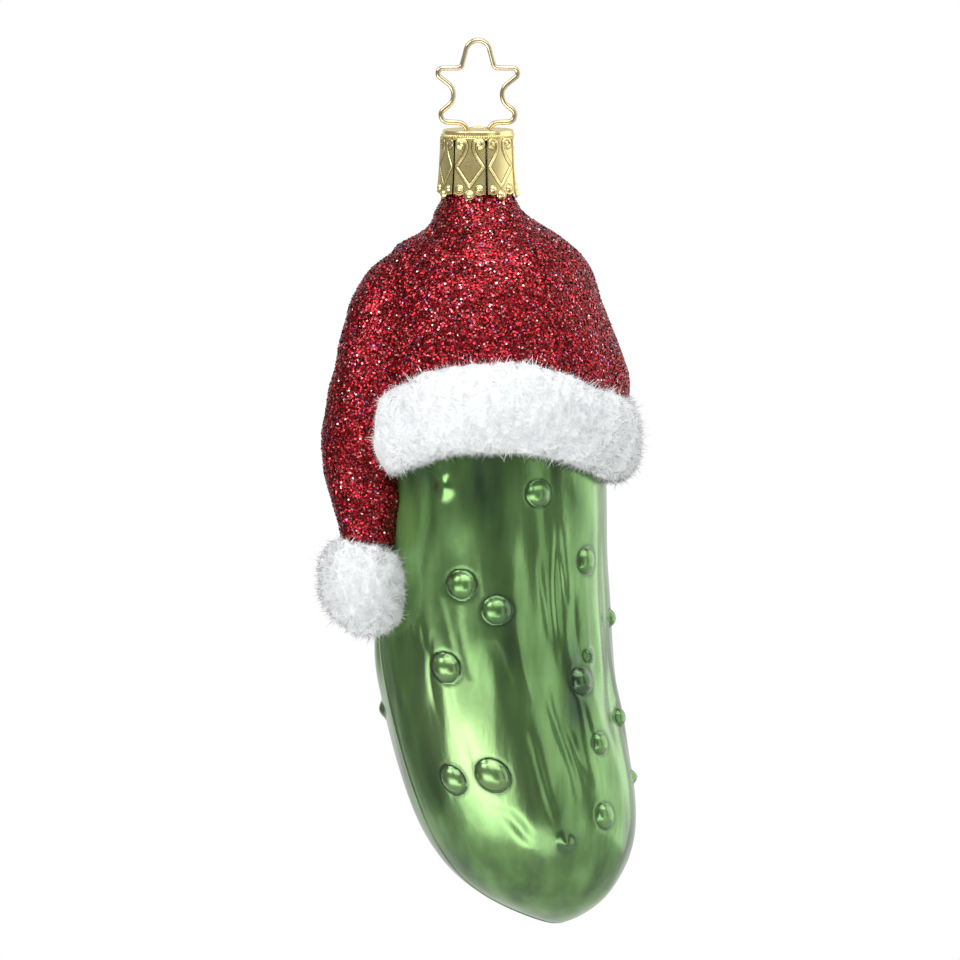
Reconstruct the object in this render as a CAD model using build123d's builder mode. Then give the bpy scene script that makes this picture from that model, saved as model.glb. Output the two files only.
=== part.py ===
from build123d import *
import os
from math import asin, atan2, cos, radians, sin, sqrt, tan

# A blown-glass pickle in a stocking hat, hung by a wire star.
# All lengths are in millimetres. +Z is up, +X is to the viewer's right, and the viewer looks along +Y.
# The origin is where a hook bears under the top arch of the star.
# The blown forms are built from rings of flats, band by band, which keeps the part light.

# Star of spring wire: its height is from the hook seat to the top of the cap
wire_diameter = 0.72
wire_sides = 6
star_height = 12.35
star_width = 14.0
star_arch_radius = 1.72
star_notch_radius = 0.7
star_side_radius = 0.72
star_waist_radius = 2.0
star_foot_radius = 1.0
leg_bend_radius = 0.8
leg_spacing = 2.92
leg_straight = 2.8
leg_flare_radius = 4.0
leg_length = 17.4
leg_bore_clearance = 0.25

# Crown cap, stamped from sheet
sheet = 0.25
crown_radius = 5.15
crown_shoulder_radius = 0.8
crown_shoulder_height = 1.5
shoulder_share = 0.3
skirt_foot_radius = 5.95
tab_reach = 5.24
tab_count = 7
tab_turn_share = -26 / 360
tab_length = 8.6
slot_width = 0.5
corner_lobe_radius = 0.62
middle_lobe_radius = 0.72
middle_lobe_drop = 0.45
emboss_height = 0.12
emboss_width = 0.34
scroll_width = 3.8
scroll_drop = 5.8
scroll_foot_drop = 2.5
scroll_bead_rise = 3.4
scroll_bead_spread = 1.5
scroll_bead_radius = 0.42
bead_sides = 6
wire_hole_clearance = 0.12
bridge_length = 1.8
bridge_width = 1.1
bridge_rise = 0.45
seat_clearance = 0.05

# Glass bulb
glass_wall = 0.7
neck_radius = 4.5
neck_length = 9.2
hat_height = 33.2
hat_radius = 18.5
hat_shift = 1.6
body_sides = 32
core_sides = 20
pickle_length = 71.3
pickle_radius = 17.2
pickle_shift = 2.0
pickle_lean = 9.4
flattening_share = 0.07

# Coats on the glass
glitter_coat = 0.35
flock_coat = 0.7

# Brim roll, tail and pompom of the hat, measured on the glass
brim_radius = 17.4
brim_rise = 1.0
brim_arch = 2.45
brim_tilt = 0.9
brim_half_height = 6.5
brim_half_depth = 3.9
brim_sides = 12
brim_core_sides = 8
brim_steps = 36
brim_core_steps = 24
pompom_radius = 5.6
pompom_half_height = 6.9
pompom_bands = 9
pompom_core_bands = 6
pompom_sides = 20
tail_radius = 5.35
tail_sides = 18
tail_core_sides = 12

# Warts on the pickle
wart_radius = 1.75
wart_rise = 1.1
wart_sides = 6

cut_overrun = 1.0

# Levels down the ornament, and sizes that follow
wire_radius = wire_diameter / 2
crown_top = -star_height
crown_ceiling = crown_top - sheet
shoulder_level = crown_top - crown_shoulder_height
tab_foot = crown_top - tab_length
skirt_foot = tab_foot - middle_lobe_drop - middle_lobe_radius
neck_rim = crown_ceiling - seat_clearance
neck_foot = neck_rim - neck_length
brim_level = neck_foot - hat_height
neck_bore_radius = neck_radius - glass_wall

# Star corners: across, as a share of half the star's width, and down, as a share of its height
star_notch_shares = (0.337, 0.290)
star_side_shares = (1.0, 0.296)
star_waist_shares = (0.321, 0.602)
star_foot_shares = (1.0, 0.907)
star_hip_share = 0.927

# A scroll's corners: across, as a share of half its width, and up, as a share of its bead's rise
scroll_shares = ((1.0, 0.0), (0.38, 0.5), (0.79, 1.0))

# Hat rings: down, as a share of its height; out, as a share of its radius; aside, of the hat's shift
hat_shares = [
    (0.000, 0.2426, 0.00),
    (0.035, 0.252, 0.00),
    (0.065, 0.299, 0.06),
    (0.107, 0.358, 0.38),
    (0.155, 0.461, 0.80),
    (0.203, 0.576, 0.98),
    (0.267, 0.690, 1.05),
    (0.350, 0.785, 0.92),
    (0.480, 0.872, 0.88),
    (0.640, 0.950, 0.95),
    (0.800, 1.000, 1.10),
    (0.900, 0.995, 1.20),
    (1.000, 0.935, 1.25),
]
hat_core_shares = [hat_shares[number] for number in (0, 1, 3, 5, 7, 8, 10, 12)]
# Pickle rings: down and out as above, of its own length and radius; aside, as a share of its lean
pickle_shares = [
    (-0.070, 0.930, 0.010),
    (0.087, 0.942, 0.015),
    (0.227, 0.965, 0.000),
    (0.348, 0.994, -0.005),
    (0.434, 1.000, 0.015),
    (0.520, 0.998, 0.090),
    (0.600, 0.990, 0.210),
    (0.680, 0.970, 0.350),
    (0.750, 0.932, 0.498),
    (0.815, 0.875, 0.617),
    (0.870, 0.790, 0.710),
    (0.920, 0.650, 0.785),
    (0.955, 0.490, 0.845),
    (0.978, 0.300, 0.915),
    (0.990, 0.140, 0.975),
    (1.000, 0.060, 1.000),
]
pickle_cavity_shares = [pickle_shares[number] for number in (0, 2, 4, 6, 8, 10, 11, 12)]
# Tail rings: across and towards the viewer, as shares of the hat's radius; down, as a share of its
# height; and out, as a share of the tail's radius
tail_shares = [
    (-0.249, -0.097, 0.384, 0.79),
    (-0.508, 0.049, 0.402, 1.02),
    (-0.697, 0.157, 0.511, 1.01),
    (-0.773, 0.249, 0.655, 0.97),
    (-0.843, 0.335, 0.818, 0.925),
    (-0.914, 0.389, 1.005, 0.88),
    (-0.919, 0.411, 1.173, 0.85),
    (-0.892, 0.438, 1.324, 0.77),
    (-0.876, 0.476, 1.474, 0.60),
]
tail_core_shares = [tail_shares[number] for number in (0, 1, 2, 4, 6, 8)]
pompom_place_shares = (-0.889, 0.497, 1.651)
# Warts: down, as a share of the pickle's length; bearing from the viewer, as a share of a turn; and
# size, as a share of the wart's
wart_shares = [
    (0.102, -0.067, 0.85),
    (0.109, 0.444, 1.00),
    (0.116, 0.066, 1.00),
    (0.217, -0.417, 1.10),
    (0.238, 0.328, 1.00),
    (0.256, 0.151, 1.05),
    (0.297, -0.040, 1.08),
    (0.347, 0.008, 1.08),
    (0.382, 0.239, 0.75),
    (0.406, -0.328, 1.00),
    (0.413, 0.406, 1.20),
    (0.447, 0.148, 0.60),
    (0.464, -0.067, 1.12),
    (0.494, 0.127, 1.05),
    (0.567, -0.244, 0.75),
    (0.567, 0.483, 1.20),
    (0.579, 0.215, 0.85),
    (0.622, 0.140, 0.85),
    (0.680, -0.031, 1.30),
    (0.687, -0.389, 1.15),
    (0.691, -0.090, 1.10),
    (0.702, 0.233, 0.60),
    (0.729, 0.367, 1.00),
    (0.768, 0.128, 1.00),
    (0.817, 0.054, 0.80),
    (0.820, -0.478, 0.90),
    (0.869, 0.300, 0.75),
]
# A wart's rings: out, as a share of its radius, and up, as a share of its rise
wart_ring_shares = [(1.0, -1.0), (0.9, 0.42), (0.5, 0.95)]


def ring_of(centre, reach_x, reach_y, sides):
    """Corners of a flat-sided oval ring; its flats, not its corners, lie at the reach."""
    swell = 1 / cos(radians(180 / sides))
    steps = [radians(360 * number / sides) for number in range(sides)]
    return [centre + swell * cos(step) * reach_x + swell * sin(step) * reach_y for step in steps]


def banded_form(rings):
    """A solid made of bands, each the hull of two neighbouring rings."""
    with BuildPart() as form:
        add(
            [
                ConvexPolyhedron([*ring, *next_ring], mode=Mode.PRIVATE)
                for ring, next_ring in zip(rings, rings[1:])
            ]
        )
    return form.part


def body_form(shares, top, drop, radius, start, lean, growth, sides):
    """Level rings of the hat or pickle; growth moves the wall outwards, or inwards if negative."""
    rings = []
    for down, out, aside in shares:
        half_width = out * radius
        half_depth = half_width - flattening_share * (half_width - neck_radius)
        centre = Vector(start + aside * lean, 0, top - down * drop)
        across = Vector(half_width + growth, 0, 0)
        rings.append(ring_of(centre, across, Vector(0, half_depth + growth, 0), sides))
    return banded_form(rings)


def hat_form(shares, growth, sides):
    return body_form(shares, neck_foot, hat_height, hat_radius, 0, hat_shift, growth, sides)


def pickle_form(shares, growth, sides):
    return body_form(
        shares, brim_level, pickle_length, pickle_radius, pickle_shift, pickle_lean, growth, sides
    )


def tail_form(shares, growth, sides):
    """The hat's drooping point, in rings square to its path."""
    centres = [
        Vector(across * hat_radius, -towards * hat_radius, neck_foot - down * hat_height)
        for across, towards, down, _ in shares
    ]
    rings = []
    for number, centre in enumerate(centres):
        before = centres[max(number - 1, 0)]
        after = centres[min(number + 1, len(centres) - 1)]
        along = (before - after).normalized()
        sideways = Vector(0, 1, 0).cross(along).normalized()
        reach = shares[number][-1] * tail_radius + growth
        rings.append(ring_of(centre, sideways * reach, along.cross(sideways) * reach, sides))
    return banded_form(rings)


def pompom_form(bands, growth, sides):
    """The egg-shaped pompom at the end of the tail."""
    across, towards, down = pompom_place_shares
    centre = Vector(across * hat_radius, -towards * hat_radius, neck_foot - down * hat_height)
    rings = []
    for number in range(bands + 1):
        latitude = radians(180 * (number + 0.25) / (bands + 0.5))
        level = Vector(0, 0, (pompom_half_height + growth) * cos(latitude))
        reach = (pompom_radius + growth) * sin(latitude)
        rings.append(ring_of(centre + level, Vector(reach, 0, 0), Vector(0, reach, 0), sides))
    return banded_form(rings)


def brim_form(growth, sides, steps):
    """The rolled brim: upright ovals carried round the hat, lowest beside it and highest in front."""
    half_depth = brim_radius - flattening_share * (brim_radius - neck_radius)
    rings = []
    for number in range(steps + 1):
        bearing = radians(360 * number / steps)
        outwards = Vector(sin(bearing), -cos(bearing), 0)
        level = brim_level + brim_rise + brim_arch * cos(2 * bearing) + brim_tilt * cos(bearing)
        centre = Vector(pickle_shift + brim_radius * sin(bearing), -half_depth * cos(bearing), level)
        upwards = Vector(0, 0, brim_half_height + growth)
        rings.append(ring_of(centre, outwards * (brim_half_depth + growth), upwards, sides))
    return banded_form(rings)


def wart_forms():
    """Low rounded knobs that stand square to the pickle's skin."""
    forms = []
    for down_share, turn_share, size_share in wart_shares:
        pairs = zip(pickle_shares, pickle_shares[1:])
        upper, lower = next(pair for pair in pairs if pair[1][0] >= down_share)
        mix_share = (down_share - upper[0]) / (lower[0] - upper[0])
        out, aside = (upper[row] + mix_share * (lower[row] - upper[row]) for row in (1, 2))
        half_width = out * pickle_radius
        half_depth = half_width - flattening_share * (half_width - neck_radius)
        bearing = radians(360 * turn_share)
        across = pickle_shift + aside * pickle_lean + half_width * sin(bearing)
        skin = Vector(across, -half_depth * cos(bearing), brim_level - down_share * pickle_length)
        slope = (upper[1] - lower[1]) * pickle_radius / ((lower[0] - upper[0]) * pickle_length)
        facing = Vector(sin(bearing), -cos(bearing), -slope).normalized()
        sideways = Vector(cos(bearing), sin(bearing), 0)
        corners = []
        for out_share, up_share in wart_ring_shares:
            reach = size_share * wart_radius * out_share
            centre = skin + facing * (size_share * wart_rise * up_share)
            corners += ring_of(centre, sideways * reach, facing.cross(sideways) * reach, wart_sides)
        forms.append(ConvexPolyhedron(corners, mode=Mode.PRIVATE))
    return forms


# Forms that more than one piece is cut from
brim_skin = brim_form(flock_coat, brim_sides, brim_steps)
tail_skin = tail_form(tail_shares, glitter_coat, tail_sides)
pompom_skin = pompom_form(pompom_bands, flock_coat, pompom_sides)

with BuildPart() as glass_outside:
    with BuildSketch(Plane.XY.offset(neck_rim)):
        Circle(neck_radius)
    extrude(amount=-neck_length - cut_overrun)
    add(
        [
            hat_form(hat_core_shares, 0, core_sides),
            pickle_form(pickle_shares, 0, body_sides),
            brim_form(0, brim_core_sides, brim_core_steps),
            tail_form(tail_core_shares, 0, tail_core_sides),
            pompom_form(pompom_core_bands, 0, tail_core_sides),
        ]
    )

with BuildPart() as hat_glitter:
    add(hat_form(hat_shares, glitter_coat, body_sides))
    add(brim_skin, mode=Mode.SUBTRACT)
    add(tail_skin)
    add(glass_outside.part, mode=Mode.SUBTRACT)
    add(pompom_skin, mode=Mode.SUBTRACT)

with BuildPart() as brim_flock:
    add(brim_skin)
    add(glass_outside.part, mode=Mode.SUBTRACT)
    add(tail_skin, mode=Mode.SUBTRACT)

with BuildPart() as pompom_flock:
    add(pompom_skin)
    add(glass_outside.part, mode=Mode.SUBTRACT)

with BuildPart() as neck_bore:
    with BuildSketch(Plane.XY.offset(neck_rim)):
        Circle(neck_bore_radius)
    extrude(amount=-neck_length - cut_overrun)

with BuildPart() as glass_shell:
    add(glass_outside.part)
    add(
        [
            neck_bore.part,
            hat_form(hat_core_shares, -glass_wall, core_sides),
            pickle_form(pickle_cavity_shares, -glass_wall, core_sides),
        ],
        mode=Mode.SUBTRACT,
    )
    add(wart_forms())


def crown_form(growth):
    """The cap's outside: turned and round at the shoulder, with a flat for each tab lower down."""
    radius = crown_radius + growth
    top = crown_top + growth
    rounding = crown_shoulder_radius + growth
    with BuildPart() as form:
        with BuildSketch(Plane.XZ):
            with BuildLine():
                Polyline(
                    (0, top),
                    (radius - rounding, top),
                    (radius - rounding * shoulder_share, top - rounding * shoulder_share),
                    (radius, top - rounding),
                    (radius, shoulder_level),
                    (skirt_foot_radius + growth, skirt_foot - cut_overrun),
                    (0, skirt_foot - cut_overrun),
                    close=True,
                )
            make_face()
        revolve(axis=Axis.Z)
        with BuildSketch(Plane.XY.offset(skirt_foot - cut_overrun)):
            RegularPolygon(
                tab_reach + growth,
                tab_count,
                major_radius=False,
                rotation=360 * tab_turn_share,
                align=(Align.NONE, Align.NONE),
            )
        extrude(amount=2 * tab_length, mode=Mode.INTERSECT)
    return form.part


def tab_planes(level):
    """One upright plane just inside each tab, facing outwards with its Y up."""
    planes = []
    for number in range(tab_count):
        facing = radians(360 * (tab_turn_share + (number + 0.5) / tab_count))
        outwards = Vector(cos(facing), sin(facing), 0)
        inside = outwards * (tab_reach - 2 * sheet) + Vector(0, 0, level)
        planes.append(Plane(inside, x_dir=Vector(0, 0, 1).cross(outwards), z_dir=outwards))
    return planes


with BuildPart() as tab_relief:
    # A V and two scrolls that rise from it to beads in the tab's upper corners
    with BuildSketch(*tab_planes(crown_top - scroll_drop)):
        half_scroll = scroll_width / 2
        with BuildLine() as ribs:
            Polyline((-half_scroll, 0), (0, -scroll_foot_drop), (half_scroll, 0))
            for hand in (1, -1):
                Polyline(
                    [
                        (hand * across * half_scroll, up * scroll_bead_rise)
                        for across, up in scroll_shares
                    ]
                )
        trace(ribs.line, emboss_width)
        with GridLocations(2 * scroll_bead_spread, 2 * scroll_bead_rise, 2, 1):
            RegularPolygon(scroll_bead_radius, bead_sides)
    extrude(amount=2 * skirt_foot_radius)
    add(crown_form(emboss_height), mode=Mode.INTERSECT)

with BuildPart() as crown_cap:
    add(crown_form(0))
    add(tab_relief.part)
    add(crown_form(-sheet), mode=Mode.SUBTRACT)
    # Slots between the tabs
    with BuildSketch(Plane.XY.offset(shoulder_level)):
        with PolarLocations(0, tab_count, start_angle=360 * tab_turn_share):
            Rectangle(2 * skirt_foot_radius, slot_width, align=(Align.MIN, Align.CENTER))
    extrude(amount=skirt_foot - shoulder_level - 2 * cut_overrun, mode=Mode.SUBTRACT)
    # Each tab's foot, cut away between three lobes
    lobe_spread = tab_reach * tan(radians(180 / tab_count)) - slot_width / 2 - corner_lobe_radius
    with BuildSketch(*tab_planes(tab_foot)):
        Rectangle(2 * skirt_foot_radius, tab_length, align=(Align.CENTER, Align.MAX))
        with Locations((-lobe_spread, 0), (lobe_spread, 0)):
            Circle(corner_lobe_radius, mode=Mode.SUBTRACT)
        with Locations((0, -middle_lobe_drop)):
            Circle(middle_lobe_radius, mode=Mode.SUBTRACT)
    extrude(amount=2 * skirt_foot_radius, mode=Mode.SUBTRACT)
    # Two holes for the wire's legs, and the bridge pressed up between them
    with BuildSketch(Plane.XZ.offset(-bridge_width / 2)):
        with Locations((0, crown_ceiling)):
            Ellipse(bridge_length / 2, bridge_rise + sheet)
            Rectangle(bridge_length, 2 * bridge_length, align=(Align.CENTER, Align.MAX), mode=Mode.SUBTRACT)
    extrude(amount=bridge_width)
    with BuildSketch(Plane.XY.offset(crown_top + cut_overrun)):
        with GridLocations(leg_spacing, 0, 2, 1):
            Circle(wire_radius + wire_hole_clearance)
    extrude(amount=-2 * cut_overrun, mode=Mode.SUBTRACT)

# Right half of the wire's centre line, from the notch beside the arch to the leg's tip
arch_centre = wire_radius - star_arch_radius
notch, side, waist, foot = (
    (across * star_width / 2, -down * star_height)
    for across, down in (star_notch_shares, star_side_shares, star_waist_shares, star_foot_shares)
)
notch_drop = arch_centre - notch[1]
arch_slope = atan2(notch[0], notch_drop) - asin(star_arch_radius / sqrt(notch[0] ** 2 + notch_drop**2))
apex = (0, arch_centre + star_arch_radius / sin(arch_slope))
leg_across = leg_spacing / 2
leg_flared = neck_bore_radius - leg_bore_clearance - wire_radius
right_half = [
    notch,
    side,
    waist,
    foot,
    (leg_across, -star_hip_share * star_height),
    (leg_across, crown_ceiling - leg_straight),
    (leg_flared, crown_top - leg_length),
]
left_half = [(-across, level) for across, level in reversed(right_half)]
right_bends = [
    star_notch_radius,
    star_side_radius,
    star_waist_radius,
    star_foot_radius,
    leg_bend_radius,
    leg_flare_radius,
]
bends = [*reversed(right_bends), star_arch_radius, *right_bends]

with BuildPart() as star_hanger:
    with BuildLine(Plane.XZ) as wire_path:
        FilletPolyline(*left_half, apex, *right_half, radius=bends)
    with BuildSketch(Plane(wire_path.line @ 0, z_dir=wire_path.line % 0)):
        RegularPolygon(wire_radius, wire_sides)
    sweep(path=wire_path.line)

os.makedirs("parts", exist_ok=True)
for name, piece in dict(
    glass_shell=glass_shell,
    hat_glitter=hat_glitter,
    brim_flock=brim_flock,
    pompom_flock=pompom_flock,
    crown_cap=crown_cap,
    star_hanger=star_hanger,
).items():
    piece.part.label = name
    export_step(piece.part, f"parts/{name}.step")
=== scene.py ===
import math

import bpy
import numpy as np
from bpy.props import FloatProperty, FloatVectorProperty, IntProperty, PointerProperty
from mathutils import Euler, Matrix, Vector


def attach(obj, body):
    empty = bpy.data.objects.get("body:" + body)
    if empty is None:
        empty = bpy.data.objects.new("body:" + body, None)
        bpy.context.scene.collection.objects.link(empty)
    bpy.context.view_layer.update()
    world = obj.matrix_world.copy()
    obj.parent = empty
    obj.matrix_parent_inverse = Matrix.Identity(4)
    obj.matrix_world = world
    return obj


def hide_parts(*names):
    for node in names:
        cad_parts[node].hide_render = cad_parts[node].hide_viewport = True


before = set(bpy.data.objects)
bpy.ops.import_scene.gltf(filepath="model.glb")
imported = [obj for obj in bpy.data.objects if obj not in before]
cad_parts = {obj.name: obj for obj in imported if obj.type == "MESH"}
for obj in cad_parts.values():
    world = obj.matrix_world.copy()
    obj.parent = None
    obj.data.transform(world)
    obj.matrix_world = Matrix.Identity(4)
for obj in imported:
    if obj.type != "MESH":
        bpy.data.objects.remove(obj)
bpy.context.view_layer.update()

bl_info = {
    "name": "Pickle Ornament",
    "version": (1, 0, 0),
    "blender": (4, 5, 0),
    "location": "View3D > Sidebar > Ornament",
    "description": "Dresses the hanging glass pickle in its stocking hat",
    "category": "Object",
}

MM = 0.001
# Keeps a division away from zero
TINY = 1e-9
TURN = 2 * math.pi
# Where each random pattern starts, so that every run gives the same one
SEEDS = {"pickle": 11, "dome": 5, "tail": 8, "brim": 3, "pompom": 4, "flakes": 21, "fibres": 31}


def linear(code):
    """An sRGB hex colour as linear values: below 0.04045 divided by 12.92, above it a 2.4 power."""
    parts = [int(code[i:i + 2], 16) / 255 for i in (1, 3, 5)]
    return [p / 12.92 if p <= 0.04045 else ((p + 0.055) / 1.055) ** 2.4 for p in parts]


# Curves and surfaces


def unit(way):
    """Directions scaled to length 1."""
    return way / np.maximum(np.linalg.norm(way, axis=-1, keepdims=True), TINY)


def angles(count):
    """Angles spaced evenly over a whole turn."""
    return np.linspace(0, TURN, count, endpoint=False)


def bell(off, reach):
    """exp(-(off / reach)^2)"""
    return np.exp(-((off / reach) ** 2))


def smooth_curve(knots, samples):
    """Natural cubic spline through the knots, with chord length as its parameter; samples run from 0 to 1."""
    knots = np.asarray(knots, float)
    chord = np.concatenate([[0], np.cumsum(np.linalg.norm(np.diff(knots, axis=0), axis=1))])
    gap = np.diff(chord)
    slope = np.diff(knots, axis=0) / gap[:, None]
    count = len(knots)
    inner = np.arange(1, count - 1)
    system = np.eye(count)
    system[inner, inner - 1] = gap[:-1]
    system[inner, inner] = 2 * (gap[:-1] + gap[1:])
    system[inner, inner + 1] = gap[1:]
    right = np.zeros_like(knots)
    right[inner] = 6 * (slope[1:] - slope[:-1])
    second = np.linalg.solve(system, right)
    t = np.asarray(samples, float) * chord[-1]
    k = np.clip(np.searchsorted(chord, t, side="right") - 1, 0, count - 2)
    b = ((t - chord[k]) / gap[k])[:, None]
    a = 1 - b
    bend = (a**3 - a) * second[k] + (b**3 - b) * second[k + 1]
    return a * knots[k] + b * knots[k + 1] + bend * (gap[k] ** 2)[:, None] / 6


def tube_frames(path):
    """Unit tangents of a path, and two unit directions across it that turn as little as they can."""
    along = unit(np.gradient(path, axis=0))
    side = np.empty_like(along)
    side[0] = unit(np.cross(along[0], [0.0, 1.0, 0.1]))
    for i in range(1, len(path)):
        side[i] = unit(side[i - 1] - along[i] * np.dot(side[i - 1], along[i]))
    return along, side, np.cross(along, side)


def round_axis(reach, a, z):
    """Points at a distance from the upright axis, turned by a from the front: (r sin a, -r cos a, z)."""
    return np.stack(np.broadcast_arrays(reach * np.sin(a), -reach * np.cos(a), z), -1)


def carried_circle(path, radii, sides):
    """A circle of changing radius carried along a path: path + r (cos u side - sin u up)."""
    _, side, up = tube_frames(path)
    u = angles(sides)
    ring = np.cos(u)[None, :, None] * side[:, None] - np.sin(u)[None, :, None] * up[:, None]
    return path[:, None] + ring * np.asarray(radii, float)[:, None, None]


def grid_faces(rows, columns, wraps):
    """Quads of a grid whose rows run down and whose columns run to the viewer's right."""
    i, j = np.meshgrid(np.arange(rows - 1), np.arange(columns if wraps else columns - 1), indexing="ij")
    here, below, right = i * columns, (i + 1) * columns, (j + 1) % columns
    return np.stack([here + j, below + j, below + right, here + right], -1).reshape(-1, 4)


def closed_form(grid):
    """Vertices and faces of a grid of rings with a pole in the middle of its first and of its last ring."""
    rows, columns = grid.shape[:2]
    points = np.concatenate([grid.reshape(-1, 3), grid[:1].mean(1), grid[-1:].mean(1)])
    j = np.arange(columns)
    right, last = (j + 1) % columns, (rows - 1) * columns
    top = np.stack([np.full(columns, rows * columns), j, right], -1)
    foot = np.stack([last + j, np.full(columns, rows * columns + 1), last + right], -1)
    return points, [grid_faces(rows, columns, True), top, foot]


def closed_ring(grid):
    """Vertices and faces of a grid that closes on itself both ways, as a ring does."""
    rows, columns = grid.shape[:2]
    return grid.reshape(-1, 3), [grid_faces(rows + 1, columns, True) % (rows * columns)]


def make_piece(name, shape, material, body, slot, nodes=(), smooth=True, normals=None, **values):
    """Adds one piece and hangs it on its CAD body. shape is its points in mm and its arrays of faces.

    nodes are the CAD nodes that it stands for. values are kept per point, for its material."""
    points, groups = shape
    mesh = bpy.data.meshes.new(name)
    mesh.vertices.add(len(points))
    mesh.vertices.foreach_set("co", (np.asarray(points, float) * MM).astype(np.float32).ravel())
    loops = np.concatenate([g.ravel() for g in groups])
    sizes = np.concatenate([np.full(len(g), g.shape[1]) for g in groups])
    mesh.loops.add(len(loops))
    mesh.loops.foreach_set("vertex_index", loops.astype(np.int32))
    mesh.polygons.add(len(sizes))
    mesh.polygons.foreach_set("loop_start", (np.cumsum(sizes) - sizes).astype(np.int32))
    mesh.update(calc_edges=True)
    mesh.polygons.foreach_set("use_smooth", np.full(len(sizes), smooth))
    for key, value in values.items():
        mesh.attributes.new(key, "FLOAT", "POINT").data.foreach_set("value", np.asarray(value, np.float32))
    if normals is not None:
        mesh.normals_split_custom_set_from_vertices(normals.tolist())
    mesh.materials.append(material)
    piece = bpy.data.objects.new(name, mesh)
    bpy.context.scene.collection.objects.link(piece)
    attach(piece, body)
    if nodes:
        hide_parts(*nodes)


def across_of(normal, hint, turn):
    """Two unit directions in the plane of each normal, turned by an angle from the hint."""
    first = unit(hint - normal * (hint * normal).sum(1, keepdims=True))
    second = np.cross(normal, first)
    c, s = np.cos(turn)[:, None], np.sin(turn)[:, None]
    return first * c + second * s, second * c - first * s


def strewn(grid, count, rng, lowest=-math.inf):
    """Random places on a grid above a level, even by area: points, normals and two directions across them.
"""
    count = count
    a, b = grid[:-1], grid[1:]
    c, d = np.roll(b, -1, axis=1), np.roll(a, -1, axis=1)
    normal = np.cross(c - a, d - b)
    level = 0.25 * (a + b + c + d)[..., 2]
    total = np.cumsum((np.linalg.norm(normal, axis=2) * (level > lowest)).ravel())
    picked = np.searchsorted(total, rng.random(count) * total[-1])
    u, v = rng.random((2, count, 1))
    a, b, c, d = (g.reshape(-1, 3)[picked] for g in (a, b, c, d))
    point = (a * (1 - u) + b * u) * (1 - v) + (d * (1 - u) + c * u) * v
    normal = unit(normal.reshape(-1, 3)[picked])
    return point, normal, *across_of(normal, b - a, rng.uniform(0, TURN, count))


# The hat, the pickle and their trim, in mm

# Down the hat: level, middle across, half width, half depth
HAT_PROFILE = (
    (-20.6, 0.0, 4.6, 4.6), (-21.6, 0.0, 4.75, 4.75), (-22.6, 0.05, 5.1, 5.1), (-24.0, 0.1, 5.9, 5.9),
    (-25.4, 0.6, 7.0, 7.0), (-27.0, 1.3, 8.9, 8.7), (-28.6, 1.6, 11.0, 10.4), (-30.7, 1.7, 13.1, 12.3),
    (-33.0, 1.5, 14.7, 13.8), (-37.5, 1.4, 16.4, 15.3), (-42.0, 1.6, 17.8, 16.4), (-47.0, 2.2, 19.0, 17.2),
    (-51.0, 2.2, 18.9, 17.4), (-56.0, 2.0, 16.6, 15.6),
)
# Down the pickle: the same; the last row mirrors the one above the tip, so that the tip is round
PICKLE_PROFILE = (
    (-54.5, 2.1, 15.4, 14.4), (-61.2, 2.15, 16.1, 15.1), (-71.2, 1.9, 16.6, 15.6),
    (-79.8, 1.86, 17.0, 15.9), (-88.4, 2.36, 17.1, 16.0), (-94.7, 3.35, 17.0, 15.9),
    (-101.1, 4.7, 16.85, 15.6), (-106.5, 5.95, 16.45, 15.0), (-112.3, 7.25, 15.35, 13.8),
    (-117.1, 8.25, 13.35, 12.0), (-121.0, 9.25, 10.4, 9.4), (-123.9, 10.4, 6.4, 6.0),
    (-125.6, 11.1, 2.9, 2.8), (-126.3, 11.4, 0.0, 0.0), (-125.6, 11.4, -2.9, -2.8),
)
# The tail's middle line and radius: across, towards the viewer, level, radius
TAIL_LINE = (
    (-4.6, 1.8, -34.6, 4.6), (-9.4, -0.9, -35.2, 5.45), (-12.9, -2.9, -38.8, 5.3),
    (-14.3, -4.6, -43.6, 5.2), (-15.6, -6.2, -49.0, 5.25), (-16.9, -7.2, -55.2, 5.0),
    (-16.8, -7.6, -60.8, 4.85), (-15.8, -8.1, -65.8, 4.35), (-15.8, -8.8, -70.8, 3.5),
)
# Bumps: degrees round from the front towards the viewer's right, level, radius, height
BUMPS = (
    (-24, -62.3, 1.9, 0.55), (23.7, -63.3, 1.75, 0.95), (54.5, -73.3, 1.85, 1.0), (-14.4, -76.2, 1.9, 1.15),
    (2.7, -79.8, 1.9, 1.15), (-24.1, -88.1, 2.0, 1.2), (53.1, -86.9, 1.05, 0.6), (45.6, -90.3, 1.85, 1.1),
    (86, -82.3, 1.3, 0.8), (-32.4, -104.3, 1.95, 1.15), (-11.1, -103.5, 2.3, 1.35), (50.5, -99.4, 1.5, 0.9),
    (77.3, -96.3, 1.45, 0.9), (46.2, -109.8, 1.75, 0.85), (84, -105.1, 1.0, 0.7), (19.5, -113.3, 1.35, 0.6),
    (-88, -95.5, 1.3, 0.7), (118, -72.0, 1.8, 1.0), (146, -84.5, 2.1, 1.2), (-150, -70.5, 1.9, 1.1),
    (174, -95.5, 2.1, 1.2), (-118, -84.0, 1.7, 1.0), (-140, -104.0, 2.0, 1.1), (132, -107.0, 1.8, 1.0),
    (160, -62.8, 1.7, 0.9), (-172, -113.5, 1.6, 0.9), (108, -117.0, 1.3, 0.7),
)
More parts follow.
